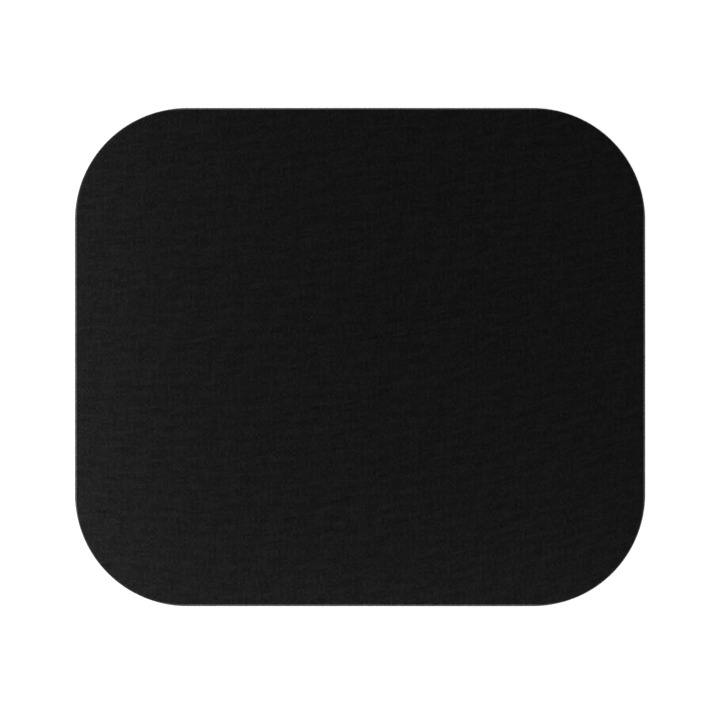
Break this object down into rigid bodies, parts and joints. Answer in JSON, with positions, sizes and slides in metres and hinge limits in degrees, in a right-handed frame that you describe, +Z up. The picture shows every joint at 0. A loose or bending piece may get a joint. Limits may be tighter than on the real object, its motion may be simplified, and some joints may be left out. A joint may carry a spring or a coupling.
{
  "type": "mouse pad",
  "caption": "Flat rectangular mouse pad with large rounded corners: matte black cloth bonded to a foam rubber base, for a computer mouse to glide on.",
  "frame": {"origin": "on the desk, under the middle of the pad", "axes": "+X along the wide side, to the user's right; +Y away from the user; +Z up, out of the cloth"},
  "size_m": [0.229, 0.2, 0.0032],
  "materials": {
    "foam_rubber": "matte sponge rubber",
    "hot_melt_film": "satin",
    "woven_cloth": "matte fine weave"
  },
  "bodies": {
    "root": {"foam_base": "foam_rubber", "bond_film": "hot_melt_film", "cloth_top": "woven_cloth"}
  },
  "joints": []
}
